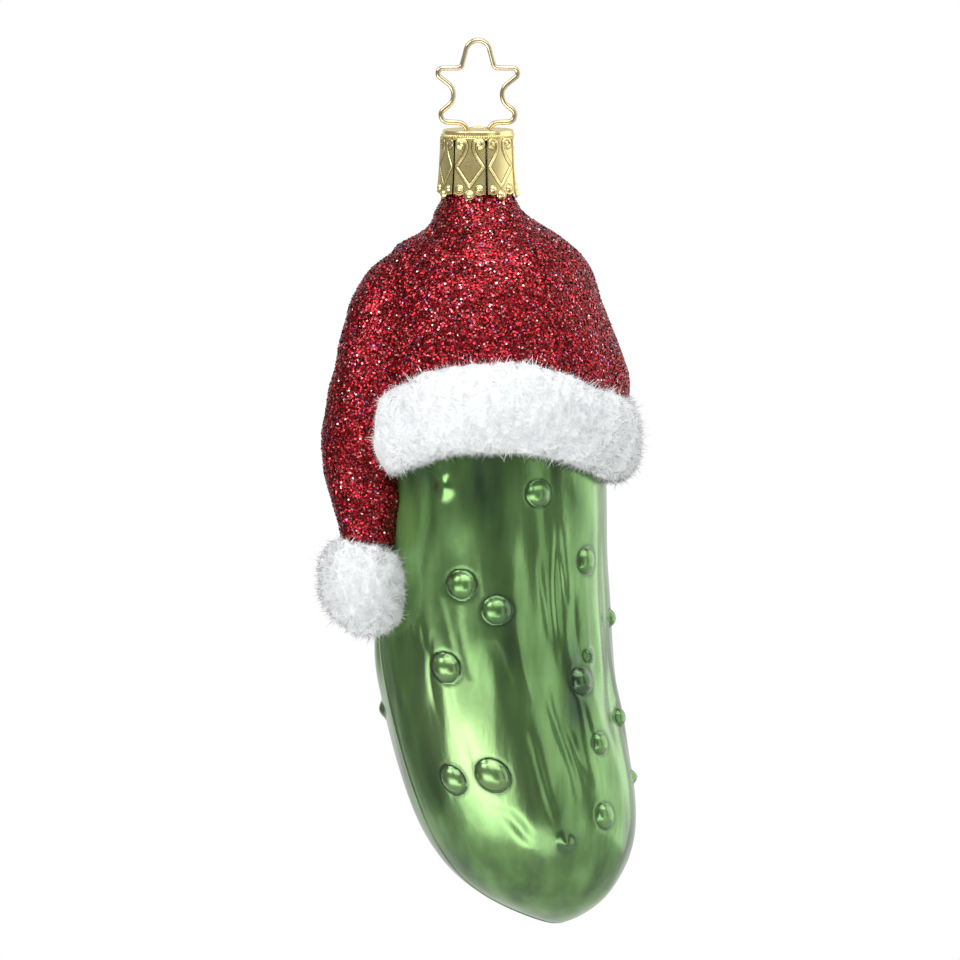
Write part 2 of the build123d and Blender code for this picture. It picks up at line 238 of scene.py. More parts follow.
# Wrinkles: degrees round at their top and at their foot, level of both, half width, depth
WRINKLES = (
    (33, 35, -66, -86, 0.34, 0.15), (36.5, 39, -67, -80, 0.28, 0.12), (25.5, 28, -71, -85, 0.30, 0.13),
    (17, 18, -65, -86, 1.0, 0.22), (-6, -3, -67, -78, 0.3, -0.10), (-15, -12, -79, -90, 0.34, 0.15),
    (-23, -19, -78, -88, 0.32, 0.14), (-36, -34, -81, -87, 0.3, 0.10), (11, 17, -80, -94, 0.5, -0.16),
    (25, 30, -90, -108, 0.38, 0.16), (11, 16, -96, -111, 0.36, 0.15), (32, 37, -95, -106, 0.5, 0.17),
    (-19, -19, -96, -104, 0.4, 0.14), (-8, 0, -108, -114, 0.8, 0.16), (3, 8, -84, -98, 0.7, 0.18),
    (70, 74, -66, -90, 0.8, 0.12), (150, 154, -66, -92, 0.4, 0.14), (-160, -163, -70, -96, 0.5, 0.15),
    (-130, -126, -76, -100, 0.4, 0.13), (125, 122, -88, -104, 0.5, 0.14),
)
# Millimetres across the skin for a radian round it: at the small dents, the wrinkles and the bumps
DENT_REACH, WRINKLE_REACH, BUMP_REACH = 16.0, 16.5, 16.2
# The mould's seam runs down both sides of the pickle, in degrees round
SEAM_TURNS = (-67, 113)
# How many short dents wander over the skin
SMALL_DENTS = 44
# The setting at which dents and wrinkles are as deep as their numbers say
FURROW_DEPTH = 0.16
# The middle of the brim's oval, and how far the oval reaches to both sides
BRIM_MIDDLE = (2.1, 0.0, -54.05)
BRIM_REACH = 17.1
# The pompom's middle, its half width, depth and height, and its lean for each mm upwards
POMPOM_MIDDLE = (-16.37, -9.2, -76.75)
POMPOM_RADII = (6.2, 6.0, 7.1)
POMPOM_LEAN = 0.13
# Glitter is strewn down to these levels, which the brim and the pompom hide
DOME_FOOT, TAIL_FOOT = -54, -73
# Round the neck's wall, up its inside and down its outside: distance from the axis, level
NECK_PROFILE = (
    (3.8, -24.0), (3.8, -13.0), (3.9, -12.75), (4.1, -12.66), (4.35, -12.75), (4.45, -13.0), (4.45, -24.0),
    (4.45, -24.4), (3.8, -24.4),
)


def rings_of(profile, count, columns, until=1.0):
    """Rings down a profile: x = middle + width sin a, y = -depth cos a, where a is 0 at the front."""
    line = smooth_curve(profile, np.linspace(0, until, count))
    a = angles(columns)
    z, middle, width, depth = (line[:, k, None] for k in range(4))
    return np.stack([middle + width * np.sin(a), -depth * np.cos(a), z + 0 * a], -1), a


def outward(grid):
    """Unit normals of a grid of rings that run downwards."""
    down = np.gradient(grid, axis=0)
    right = np.roll(grid, -1, axis=1) - np.roll(grid, 1, axis=1)
    return unit(np.cross(down, right))


def turned_by(a, b):
    """The signed angle from b to a, between minus and plus half a turn."""
    return (a - b + math.pi) % TURN - math.pi


def waves(rng, count, place, reach):
    """A soft uneven field: the mean of sines in random directions, with wave lengths about reach."""
    total = 0
    for _ in range(count):
        way = rng.normal(size=3)
        way *= TURN / (reach * rng.uniform(0.7, 1.6) * np.linalg.norm(way))
        total = total + np.sin(place @ way + rng.uniform(0, TURN))
    return total / math.sqrt(count)


def tail_path(count):
    """The tail's middle line and its radius, evenly down its length."""
    line = smooth_curve(TAIL_LINE, np.linspace(0, 1, count))
    return line[:, :3], line[:, 3]


def off_the_tail(grid):
    """The distance of each point of a grid from the tail's surface, as if the tail were round."""
    path, radii = tail_path(60)
    return np.min(np.linalg.norm(grid[:, :, None] - path, axis=3) - radii, axis=2)


def small_dents(rng, a, z, lift):
    """Takes short wandering dents off lift: each a bell across times a half sine downwards."""
    for _ in range(SMALL_DENTS):
        middle, top, length = rng.uniform(-math.pi, math.pi), rng.uniform(-108, -60), rng.uniform(7, 22)
        width, depth = rng.uniform(0.32, 0.95), rng.uniform(0.04, 0.12) * rng.choice([1, 1, -1])
        wander = rng.uniform(0.2, 0.8) * np.sin(z / rng.uniform(3, 8) + rng.uniform(0, 6))
        across = turned_by(a, middle) * DENT_REACH + wander
        run = np.clip((top - z) / length, 0, 1)
        lift = lift - depth * bell(across, width) * np.sin(math.pi * run) ** 0.7
    return lift


def wrinkles(a, z, lift):
    """Takes the long wrinkles off lift: each leans from its top to its foot, deepest at half its length."""
    for start, end, top, foot, width, depth in WRINKLES:
        run = np.clip((top - z) / (top - foot), 0, 1)
        across = turned_by(a, np.radians(start + (end - start) * run)) * WRINKLE_REACH
        across = across + 0.25 * np.sin(z / 3.1 + start)
        lift = lift - 1.2 * depth * bell(across / width, 1.6) * np.sin(math.pi * run)
    return lift


def bumps(a, z, lift):
    """Puts the bumps on lift, and gives how far each point is a bump's foot, and a bump's top.

    A high bump is part of a sphere with a groove round its foot, a low one is exp(-1.6 r^2)."""
    ring, crest = np.zeros_like(z), np.zeros_like(z)
    for turn, level, radius, height in BUMPS:
        across = turned_by(a, math.radians(turn)) * BUMP_REACH
        reach = np.sqrt(across**2 + (z - level) ** 2) / radius
        steep = min(max((height - 0.55) / 0.3, 0), 1)
        inside = np.clip(1 - reach**2, 0, 1)
        dome = steep * (0.6 * np.sqrt(inside) + 0.4 * inside) + (1 - steep) * np.exp(-1.6 * reach**2)
        foot = bell((reach - 1.1) * radius, 0.34) * steep
        lift = lift * (1 - 0.75 * np.exp(-reach**4)) + height * dome - 0.06 * foot
        ring = np.maximum(ring, foot * min(height, 1.1))
        crest = np.maximum(crest, steep * inside**0.5)
    return lift, ring, crest


def pickle_grid(kit):
    """The pickle's skin: rings, plus broad dents, furrows, wrinkles, the bumps and the mould's seam.

    With it come four values for the lacquer: bump foot, for painted shade, bump top, matt beside the tail,
    and the belly, painted paler as a highlight."""
    rng = np.random.default_rng(SEEDS["pickle"])
    profile = np.array(PICKLE_PROFILE)
    chord = np.cumsum(np.linalg.norm(np.diff(profile, axis=0), axis=1))
    grid, a = rings_of(profile, 272, 360, chord[-2] / chord[-1] - 0.0004)
    normal = outward(grid)
    z = grid[..., 2]
    # Broad dents, 9 mm across and 15 mm long, and furrows, 4 mm across and 19 mm long
    lift = 0.24 * waves(rng, 7, grid * [1, 1, 0.6], 9.0)
    lift = lift + 0.07 * waves(rng, 9, grid * [1, 1, 0.22], 4.2)
    lift = small_dents(rng, a, z, lift)
    # All of these are deeper in some places than in others
    lift = wrinkles(a, z, lift * (0.6 + 0.4 * waves(rng, 5, grid, 24.0)))
    # The skin is smooth under the brim and at the tip
    fade = np.clip((-z - 57) / 6, 0, 1) * np.clip((z + 124.5) / 12, 0, 1)
    lift = lift * fade * kit.furrow_depth / FURROW_DEPTH
    lift, ring, crest = bumps(a, z, lift)
    for turn in SEAM_TURNS:
        off = turned_by(a, math.radians(turn)) * WRINKLE_REACH
        lift = lift + 0.12 * bell(off, 0.2) * np.clip((-z - 60) / 4, 0, 1)
    # The lacquer is matt within 6 mm of the tail
    matt = np.clip(1 - off_the_tail(grid) / 6, 0, 1) ** 0.5
    # Painted highlight: the lacquer is painted paler on the belly, from the left of the middle down to the
    # tip, where the low lamp's reflection falls
    belly = turned_by(a, np.radians(-25 + 1.1 * np.clip(-98 - z, 0, 20)))
    thin = bell(belly, 0.42) * bell(z + 98.5, 13)
    return grid + normal * lift[..., None], ring, crest, matt, thin


def flow(away, reach):
    """The rise that rounds the valley between two forms: reach / 4 (1 - |away| / reach)^2 within reach."""
    return reach / 4 * np.clip(1 - np.abs(away) / reach, 0, 1) ** 2


def hat_grid(kit):
    """The hat's dome: rings with a soft fold, raised beside the tail so that the two flow together."""
    rng = np.random.default_rng(SEEDS["dome"])
    grid, _ = rings_of(HAT_PROFILE, 170, 240)
    normal = outward(grid)
    x, y, z = (grid[..., k] for k in range(3))
    lift = 0.16 * waves(rng, 8, grid, 9.0) * np.clip((-z - 24) / 5, 0, 1)
    # The fold's distance from its line, which falls from right to left over the front, and its two ends
    fold = (x + 3.2) * 0.62 + (z + 29.5) * 0.78
    run = np.clip((x + 13) / 9, 0, 1) * np.clip((1.5 - x) / 5, 0, 1)
    lift = lift - 0.55 * bell(fold, 1.3) * run * np.clip(-y / 5, 0, 1)
    return grid + normal * (lift + flow(off_the_tail(grid), kit.fold_softness))[..., None]


def tail_grid(kit):
    """The tail: a circle carried down its line and closed at its top, raised where it leaves the dome."""
    rng = np.random.default_rng(SEEDS["tail"])
    path, radii = tail_path(190)
    along = np.linspace(0, 1, len(path))
    radii = radii * np.clip(np.sin(np.clip(along * 9, 0, math.pi / 2)) ** 0.6, 0.05, 1)
    grid = carried_circle(path, radii, 120)
    out = unit(grid - path[:, None])
    x, y, z = (grid[..., k] for k in range(3))
    profile = np.array(HAT_PROFILE)
    middle, width, depth = (np.interp(-z, -profile[:, 0], profile[:, k]) for k in (1, 2, 3))
    away = (np.hypot((x - middle) / width, y / depth) - 1) * width
    lift = flow(away, kit.fold_softness) * np.clip((z + 54) / 6, 0, 1)
    lift = lift + 0.14 * waves(rng, 8, grid, 6.0) * np.clip(along * 8, 0, 1)[:, None]
    return grid + out * lift[..., None]


def brim_grid(kit, columns=320, sides=84):
    """The brim: a fat oval carried round the hat on an arched oval; higher in front and behind."""
    rng = np.random.default_rng(SEEDS["brim"])
    a, u = angles(columns)[:, None], angles(sides)[None]
    out, rise = np.cos(u), np.sin(u)
    plump = np.sign(rise) * np.abs(rise) ** 0.8
    level = BRIM_MIDDLE[2] + kit.brim_arch * np.cos(2 * a) + kit.brim_tilt * np.cos(a) + 0.25 * np.sin(a)

    def carried(reach, z):
        """Points at a distance from the hat's axis; the oval is 1 mm less deep than wide on each side."""
        return np.stack([BRIM_MIDDLE[0] + reach * np.sin(a), -(reach - 1.0) * np.cos(a), z], -1)

    grid = carried(BRIM_REACH + kit.brim_depth * out, level + kit.brim_height * plump - 0.35 * out)
    away = unit(grid - carried(BRIM_REACH, level))
    tufts = 0.16 * waves(rng, 10, grid, 6.5) + 0.12 * waves(rng, 12, grid, 2.4)
    return grid + away * tufts[..., None]


def pompom_grid(rows=90, columns=120):
    """The pompom: a ball that is taller than wide, with uneven tufts."""
    rng = np.random.default_rng(SEEDS["pompom"])
    t = np.linspace(0, math.pi, rows + 2)[1:-1, None]
    a = angles(columns)[None]
    way = np.stack([np.sin(t) * np.sin(a), -np.sin(t) * np.cos(a), np.cos(t) + 0 * a], -1)
    grid = np.array(POMPOM_MIDDLE) + way * POMPOM_RADII
    # Its top leans towards the outside of the tail
    grid[..., 0] -= POMPOM_LEAN * (grid[..., 2] - POMPOM_MIDDLE[2])
    return grid + way * (0.18 * waves(rng, 10, grid, 5.0) + 0.12 * waves(rng, 12, grid, 2.0))[..., None]


def flake_faces(grid, count, size, rng, lowest):
    """Square flakes of film, each turned and tipped its own way: their shape, and a random tint per flake."""
    point, normal, first, second = strewn(grid, count, rng, lowest)
    count = len(point)
    tip = np.abs(rng.normal(0, 0.42, count))[:, None]
    leaned = normal * np.cos(tip) + first * np.sin(tip)
    first = first * np.cos(tip) - normal * np.sin(tip)
    half = size / 2 * rng.uniform(0.7, 1.25, (count, 1))
    # The flakes lie in layers, 0.05 to 0.27 mm above the lacquer
    centre = point + normal * (0.05 + rng.uniform(0, 0.22, (count, 1))) + leaned * 0.02
    corners = [centre + half * (i * first + j * second) for i, j in ((-1, -1), (1, -1), (1, 1), (-1, 1))]
    points = np.stack(corners, 1).reshape(-1, 3)
    return (points, [np.arange(4 * count).reshape(-1, 4)]), np.repeat(rng.random(count), 4)


def fibre_faces(grid, count, kit, rng, away):
    """Flock fibres, each a slender triangle that leans at random: their shape, and values for make_piece.

    away gives the direction that a fibre's face turns to, from its place."""
    point, normal, first, second = strewn(grid, count, rng)
    count = len(point)
    tip = rng.uniform(0.2, 1.0, (count, 1)) ** 0.7 * 1.38
    way = normal * np.cos(tip) + second * np.sin(tip)
    faced = ((normal * np.sin(tip) - second * np.cos(tip)) * away(point)).sum(1, keepdims=True)
    first = first * np.where(faced < 0, -1.0, 1.0)
    # Here and there several fibres stick together to a longer and thicker one
    matted = np.where(rng.random((count, 1)) < 0.06, 1.9, 1.0)
    long = kit.fibre_length * rng.uniform(0.55, 1.25, (count, 1)) * matted
    foot = point - normal * 0.12
    half = kit.fibre_width / 2 * rng.uniform(0.7, 1.3, (count, 1)) * matted
    points = np.stack([foot - first * half, foot + first * half, foot + way * long], 1).reshape(-1, 3)
    # Normals between the flock's and the fibre's own, so that the light falls softly
    soft = unit(normal + way * 0.35)
    return (points, [np.arange(3 * count).reshape(-1, 3)]), {
        "normals": np.repeat(soft, 3, 0), "along": np.tile([0.0, 0.0, 1.0], count),
        "tint": np.repeat(rng.random(count), 3),
    }


# The crown cap, in mm

TABS = 7
TAB_TURN = math.radians(-13.0)
CAP_TOP = -12.35
TAB_TOP = -13.35
TAB_HALF_WIDTH = 2.34
PEARLS = 96
PEARL_LEVEL = -13.14
PEARL_RADIUS = 0.185
PEARL_REACH = 5.1
# The underside of the cap's top: its share of the outside's width, and how far below it lies
SHEET_SHARE, SHEET_DROP = 0.955, 0.2
# Down the cap's top: distance from the axis, level
CROWN_PROFILE = (
    (0.4, -12.46), (4.0, -12.46), (4.45, -12.47), (4.6, -12.44), (4.72, -12.37), (4.84, -12.34),
    (4.96, -12.38), (5.04, -12.48), (5.07, -12.62), (5.08, -12.9), (5.08, -13.4), (5.06, -13.5),
)
# Half of the pattern that is stamped on a tab: distance from its middle, level
SCROLL = (
    (1.34, -14.74), (1.78, -14.56), (1.95, -14.10), (1.70, -13.66), (1.22, -13.54), (0.76, -13.72),
    (0.50, -14.20), (0.53, -14.90), (0.82, -15.62), (1.20, -16.28), (1.62, -16.86), (1.98, -17.44),
)
LOZENGE = ((1.98, -17.44), (1.0, -18.84), (0.0, -20.22))
# Round beads: distance from the tab's middle, level, radius, height
BEADS = ((1.25, -14.14, 0.34, 0.13), (1.44, -20.55, 0.56, 0.36), (0.0, -21.42, 0.66, 0.42))
# The lobes of a tab's foot: distance from its middle, level, radius
LOBES = ((1.50, -20.66, 0.80), (0.0, -21.30, 0.86))


def near_line(u, z, line):
    """The shortest distance from each (u, z) to a line of points."""
    best = np.full(u.shape, np.inf)
    for (x0, z0), (x1, z1) in zip(line[:-1], line[1:]):
        run = np.array([x1 - x0, z1 - z0])
        t = np.clip(((u - x0) * run[0] + (z - z0) * run[1]) / (run @ run), 0, 1)
        best = np.minimum(best, np.hypot(u - x0 - t * run[0], z - z0 - t * run[1]))
    return best


def ridge(off, half, height):
    """A rounded ridge across a line: height (1 - (off / half)^2)^1.5 within its half width."""
    return height * np.clip(1 - (off / half) ** 2, 0, 1) ** 1.5


def stamped(u, z):
    """Height of the stamped pattern, and how much painted shade each place takes: a dark line runs along its
    feet.
    """
    side = np.abs(u)
    scroll = smooth_curve(SCROLL, np.linspace(0, 1, 60))
    line = np.minimum(near_line(side, z, scroll), near_line(side, z, LOZENGE))
    high = ridge(line, 0.22, 0.12)
    dull = ridge(line - 0.27, 0.13, 1.0)
    for across, level, radius, height in BEADS:
        off = np.hypot(side - across, z - level)
        high = np.maximum(high, height * np.clip(1 - (off / radius) ** 2, 0, 1))
        dull = np.where(off < radius, 0, np.maximum(dull, ridge(off - radius - 0.03, 0.14, 1.0)))
    # The tab's sides are darkened as well: painted shade beside the slots between the tabs
    return high, np.maximum(dull, ridge(TAB_HALF_WIDTH * 0.96 - side, 0.12, 0.5))


def tab_foot(u):
    """The tab's lower edge: a short straight cut with three round lobes below it."""
    side = np.abs(u)
    level = np.full(u.shape, -20.6)
    for across, low, radius in LOBES:
        level = np.minimum(level, low - np.sqrt(np.clip(radius**2 - (side - across) ** 2, 0, None)))
    return level


def skirt_radius(z):
    """Distance of a flat's middle from the axis: a slow flare from the shoulder to the foot."""
    down = np.clip((TAB_TOP - z) / 8.4, 0, 1.1)
    return 5.02 + 0.18 * down + 0.34 * down**2


def tab_form(kit, number, rows=130, columns=96):
    """One tab's shape and its painted shade: a nearly flat side, bowed a little, the pattern on its outside.
    """
    v = np.linspace(0, 1, rows)[:, None]
    s = np.linspace(-1, 1, columns)[None]
    u = s * TAB_HALF_WIDTH * (0.92 + 0.08 * v)
    z = TAB_TOP + (tab_foot(s * TAB_HALF_WIDTH) - TAB_TOP) * v
    out = skirt_radius(z) - 0.10 * (u / TAB_HALF_WIDTH) ** 2
    turn = TAB_TURN + TURN / TABS * number
    high, dull = stamped(u, z)
    walls = []
    for deep in (out + high, out - kit.sheet_thickness):
        x = deep * math.sin(turn) + u * math.cos(turn)
        y = -deep * math.cos(turn) + u * math.sin(turn)
        walls.append(np.stack([x, y, z], -1).reshape(-1, 3))
    # The sheet's edge joins the rims of both walls, once round the grid
    edge = np.concatenate([
        np.arange(columns), np.arange(1, rows) * columns + columns - 1,
        (rows - 1) * columns + np.arange(columns - 2, -1, -1), np.arange(rows - 2, 0, -1) * columns,
    ])
    after, size = np.roll(edge, -1), rows * columns
    faces = grid_faces(rows, columns, False)
    groups = [faces, (faces + size)[:, ::-1], np.stack([edge, after, after + size, edge + size], -1)]
    return (np.concatenate(walls), groups), np.concatenate([dull.ravel(), np.zeros(size)])


def crown_grid(columns=420):
    """The cap's top, outside and then back along its inside: a sunk disc, a rolled rim and a round wall.

    Behind the tabs the wall turns into seven flats, each at its distance / cos(angle from its middle)."""
    a = angles(columns)[None]
    line = smooth_curve(CROWN_PROFILE, np.linspace(0, 1, 56))
    radius, z = line[:, :1] + 0 * a, line[:, 1:] + 0 * a
    half = math.pi / TABS
    flat = (skirt_radius(-13.9) - 0.1) / np.cos((a - TAB_TURN + half) % (2 * half) - half)
    radius = np.concatenate([radius, 0.5 * (flat + 5.04), np.minimum(flat, 5.3)])
    z = np.concatenate([z, 0 * a - 13.42, 0 * a - 13.62])
    outside = round_axis(radius, a, z)
    inside = outside * [SHEET_SHARE, SHEET_SHARE, 1]
    inside[..., 2] -= SHEET_DROP * np.clip(1 - np.abs(z - CAP_TOP) / 0.62, 0, 1)
    return np.concatenate([outside, inside[::-1]])


def pearl_grid(sides=16, steps=10):
    """The ring of pearls: a small circle carried round the cap, its radius swelling round for each pearl."""
    a, u = angles(PEARLS * steps)[:, None], angles(sides)[None]
    off = ((a * PEARLS / TURN) % 1 - 0.5) * 2
    size = PEARL_RADIUS * np.sqrt(np.clip(1 - (0.92 * off) ** 2, 0, 1))
    reach = PEARL_REACH + size * np.cos(u)
    # The second value darkens the joins between the pearls: painted shade
    return round_axis(reach, a, PEARL_LEVEL + size * np.sin(u)), np.repeat(np.abs(off) ** 3, sides)


def bridge_grid(columns=30):
    """The bridge between the wire's feet: a rounded strap carried over a flat arch from side to side."""
    t, u = np.linspace(-1, 1, 40)[:, None], angles(columns)[None]
    rise = 0.42 * np.clip(1 - np.abs(t) ** 6, 0, 1) - 0.12
    wide = np.sign(np.cos(u)) * np.abs(np.cos(u)) ** 0.5
    thick = np.sign(np.sin(u)) * np.abs(np.sin(u)) ** 0.6
    return np.stack([t + 0 * u, -0.45 * wide + 0 * t, CAP_TOP + rise + 0.11 * thick], -1)


# The wire, in mm

WIRE_RADIUS = 0.36
STAR_HALF_WIDTH = 7
ARCH_RADIUS = 1.72


def rounded_path(corners, radii, spacing=0.09):
    """Straight runs joined by arcs: at each corner the arc of that radius touches both runs."""
    corners = [np.array(c, float) for c in corners]
    line = [corners[0]]
    for before, corner, after, radius in zip(corners, corners[1:], corners[2:], radii):
        one, two = unit(before - corner), unit(after - corner)
        between = math.acos(np.clip(one @ two, -1, 1))
        cut = radius / math.tan(between / 2)
        middle = corner + unit(one + two) * radius / math.sin(between / 2)
        start, end = corner + one * cut - middle, corner + two * cut - middle
        sweep = math.pi - between
        t = np.linspace(0, 1, max(3, int(sweep * radius / spacing)))[:, None]
        arc = (start * np.sin((1 - t) * sweep) + end * np.sin(t * sweep)) / math.sin(sweep)
        line += list(middle + arc)
    line.append(corners[-1])
    return np.array(line)


def star_line():
    """The wire's middle line from one leg's tip round the star to the other leg's tip."""
    # Shares of the star's half width and of its height over the cap
    shares = ((0.337, 0.290), (1.0, 0.296), (0.321, 0.602), (1.0, 0.907))
    notch, side, waist, foot = ((x * STAR_HALF_WIDTH, down * CAP_TOP) for x, down in shares)
    # The upper arch touches the lines to both notches, and its inside is where the hook bears
    arch = WIRE_RADIUS - ARCH_RADIUS
    drop = arch - notch[1]
    slope = math.atan2(notch[0], drop) - math.asin(ARCH_RADIUS / math.hypot(notch[0], drop))
    apex = (0.0, arch + ARCH_RADIUS / math.sin(slope))
    right = [notch, side, waist, foot, (1.46, 0.927 * CAP_TOP), (1.46, -15.4), (3.19, -29.75)]
    left = [(-x, z) for x, z in reversed(right)]
    bends = [0.7, 0.72, 2.0, 1.0, 1.5, 4.0]
    corners = [(x, 0.0, z) for x, z in (*left, apex, *right)]
    return rounded_path(corners, [*reversed(bends), ARCH_RADIUS, *bends])


# Materials


def add(tree, kind, inputs=None, **settings):
    """Adds a shader node. An input takes a value, a socket, or a node for its first output in use."""
    made = tree.nodes.new("ShaderNode" + kind)
    for key, value in settings.items():
        setattr(made, key, value)
    for key, value in (inputs or {}).items():
        socket = made.inputs[key]
        if isinstance(value, bpy.types.Node):
            value = next(output for output in value.outputs if output.enabled)
        if isinstance(value, bpy.types.NodeSocket):
            tree.links.new(value, socket)
        else:
            socket.default_value = (*value, 1) if socket.type == "RGBA" else value
    return made


def maths(tree, operation, *values):
    """A sum, product or the like of two or three values."""
    return add(tree, "Math", dict(enumerate(values)), operation=operation)


def ranged(tree, value, low, high):
    """A value from 0 to 1, carried over to the range from low to high."""
    return add(tree, "MapRange", {"Value": value, "To Min": low, "To Max": high})


def mixed(tree, share, first, second):
    """The first colour, with a share of the second."""
    return add(tree, "Mix", {0: share, 6: first, 7: second}, data_type="RGBA")


def ramp(tree, value, *stops):
    """The colour that a value from 0 to 1 stands for, between stops of a place and a colour."""
    made = add(tree, "ValToRGB", {0: value})
    elements = made.color_ramp.elements
    while len(elements) < len(stops):
        elements.new(0.5)
    for element, (place, colour) in zip(elements, stops):
        element.position = place
        element.color = (*colour, 1)
    return made


def noise(tree, scale, detail, roughness=0.5, turn=(0, 0, 0)):
    """Clouds fixed to the piece. scale is how many of them go into a metre each way."""
    where = add(tree, "TexCoord").outputs["Object"]
    place = add(tree, "Mapping", {"Vector": where, "Rotation": turn, "Scale": scale})
    return add(tree, "TexNoise", {"Vector": place, "Scale": 1.0, "Detail": detail, "Roughness": roughness})


def relief(tree, height, strength, distance):
    """A fine relief, from a height between 0 and 1 and the distance in metres that it stands for."""
    return add(tree, "Bump", {"Height": height, "Strength": strength, "Distance": distance})


def fresh_material(name, *kept):
    """A material with an empty node tree, the tree, and the named values that make_piece kept per point."""
    material = bpy.data.materials.new(name)
    material.use_nodes = True
    tree = material.node_tree
    tree.nodes.clear()
    return material, tree, *(add(tree, "Attribute", attribute_name=key).outputs["Fac"] for key in kept)


def finished(material, inputs, kind="BsdfPrincipled"):
    """Ends a material with its shader, and gives the material back."""
    shader = add(material.node_tree, kind, inputs)
    add(material.node_tree, "OutputMaterial", {"Surface": shader})
    return material


def green_lacquered_glass(kit):
    """Blown glass silvered inside and sprayed with satin green lacquer: tinted mirror under a cloudy coat."""
    kept = "thin", "bump_foot", "bump_top", "matt"
    material, tree, thin, ring, top, matt = fresh_material("lacquered_silvered_glass", *kept)
    # Runs of thicker lacquer, 4 mm across and 17 mm long, in patches of 9 by 22 mm
    cloud, patch = noise(tree, (260, 260, 60), 4.0, 0.55), noise(tree, (110, 110, 45), 2.0)
    mean = maths(tree, "MULTIPLY", maths(tree, "ADD", cloud, patch), 0.5)
    stops = (0.35, kit.deep_green), (0.49, kit.middle_green), (0.67, kit.pale_green)
    # The belly is painted paler and yellower: a painted highlight
    belly = mixed(tree, thin, ramp(tree, mean, *stops), kit.thin_green)
    # Painted shade: dark green in the grooves round the bumps' feet
    colour = mixed(tree, maths(tree, "MULTIPLY", ring, 0.7), belly, linear("#1c3a1c"))
    # Fine ripple left by the mould, 1 mm across and drawn out to 4 mm downwards
    ripple = noise(tree, (900, 900, 260), 3.0)
    # The lacquer is duller on the bumps, and matt where the glue of the tail touched it
    duller = maths(tree, "MULTIPLY_ADD", top, 0.12, ranged(tree, patch, 0.15, 0.25))
    return finished(material, {
        "Base Color": colour, "Metallic": ranged(tree, matt, 0.92, 0.15),
        "Roughness": maths(tree, "MULTIPLY_ADD", matt, 0.3, duller),
        "Normal": relief(tree, ripple, 0.12, 0.0003),
        "Coat Weight": 0.9, "Coat Roughness": 0.2, "Coat IOR": 1.5,
    })


def silvered_glass():
    """Bare neck of the bulb: clear glass with the silver film showing through, a soft mirror."""
    material, tree = fresh_material("silvered_glass")
    # Clouds in the film, 1.4 mm across
    cloud = noise(tree, (700, 700, 700), 3.0)
    return finished(material, {
        "Base Color": ramp(tree, cloud, (0.35, linear("#b9bdbf")), (0.65, linear("#dfe2e2"))),
        "Metallic": 1.0, "Roughness": 0.16, "Normal": relief(tree, cloud, 0.15, 0.0002),
        "Coat Weight": 0.6, "Coat Roughness": 0.04,
    })


def red_lacquer():
    """Red lacquer with the lowest glitter sunk in it: dark, rough and grainy."""
    material, tree = fresh_material("red_lacquer_base")
    # Flakes in the lacquer, 0.3 mm across
    where = add(tree, "TexCoord").outputs["Object"]
    cells = add(tree, "TexVoronoi", {"Vector": where, "Scale": 3400.0}).outputs
    stops = (0.1, linear("#4a050b")), (0.5, linear("#8c0a17")), (0.8, linear("#c01424"))
    return finished(material, {
        "Base Color": ramp(tree, cells["Color"], *stops), "Metallic": 0.35, "Roughness": 0.42,
        "Normal": relief(tree, cells["Distance"], 0.8, 0.0002),
    })


def glitter_film(kit):
    """Polyester film flakes, metallised and dyed red: each one a tiny mirror of its own shade."""
    material, tree, tint = fresh_material("red_glitter_film", "tint")
    # A few flakes in a hundred are pale, white or violet
    stops = (
        (0.0, linear("#3e040a")), (0.28, kit.deep_red), (0.62, kit.bright_red), (0.92, linear("#e03040")),
        (0.965, linear("#f4989c")), (0.985, linear("#ffe8e0")), (0.998, linear("#9a6fe0")),
    )
    return finished(material, {
        "Base Color": ramp(tree, tint, *stops), "Metallic": 0.85, "Roughness": 0.15,
        "Coat Weight": 0.25, "Coat Roughness": 0.05,
    })


def nylon_flock(kit):
    """The glue bed and the feet of the nylon fibres: matt, and greyer where the fibres shade it."""
    material, tree = fresh_material("nylon_flock_bed")
    # Tufts about 0.5 mm across
    tufts = noise(tree, (2000, 2000, 2000), 4.0)
    return finished(material, {
        "Base Color": ramp(tree, tufts, (0.3, kit.flock_shade), (0.6, kit.flock_white)),
        "Roughness": 0.85, "Normal": relief(tree, tufts, 0.6, 0.0004), "Specular IOR Level": 0.2,
    })


def nylon_fibre(kit):
    """Cut white nylon fibre, 0.1 mm thick: it lets light through, and its colour is painted white at its tip
    and greyer towards its foot, as painted light and shade.
    """
    material, tree, tint, along = fresh_material("nylon_flock_fibre", "tint", "along")
    shade = ramp(tree, tint, (0.0, kit.flock_shade), (0.3, linear("#f1f5f8")), (0.6, kit.flock_white))
    # Greyer at the foot and white at the tip: painted shade and painted light
    return finished(material, {
        "Base Color": mixed(tree, along, shade, kit.flock_white), "Roughness": 0.6,
        "Specular IOR Level": 0.25, "Sheen Weight": 0.15, "Sheen Roughness": 0.5,
    })


def stamped_brass(kit):
    """Thin brass sheet, stamped and bright-dipped: pale yellow with fine rolling lines, and painted shade in
    the hollows.
    """
    material, tree, hollow = fresh_material("stamped_brass", "hollow")
    # Rolling lines, 0.1 mm apart, and patches of 2.4 mm that took the dip differently
    grain = noise(tree, (700, 700, 9000), 3.0, turn=(0.0, 0.35, 0.0))
    clean = ramp(tree, noise(tree, (420, 420, 420), 2.0), (0.3, kit.brass_shade), (0.6, kit.brass))
    # Painted shade: dark brown along the pattern's feet, beside the tabs' sides and between the pearls
    return finished(material, {
        "Base Color": mixed(tree, maths(tree, "MULTIPLY", hollow, 0.72), clean, linear("#4e421c")),
        "Metallic": 1.0, "Roughness": ranged(tree, grain, 0.18, 0.30),
        "Normal": relief(tree, grain, 0.08, 0.00003),
    })


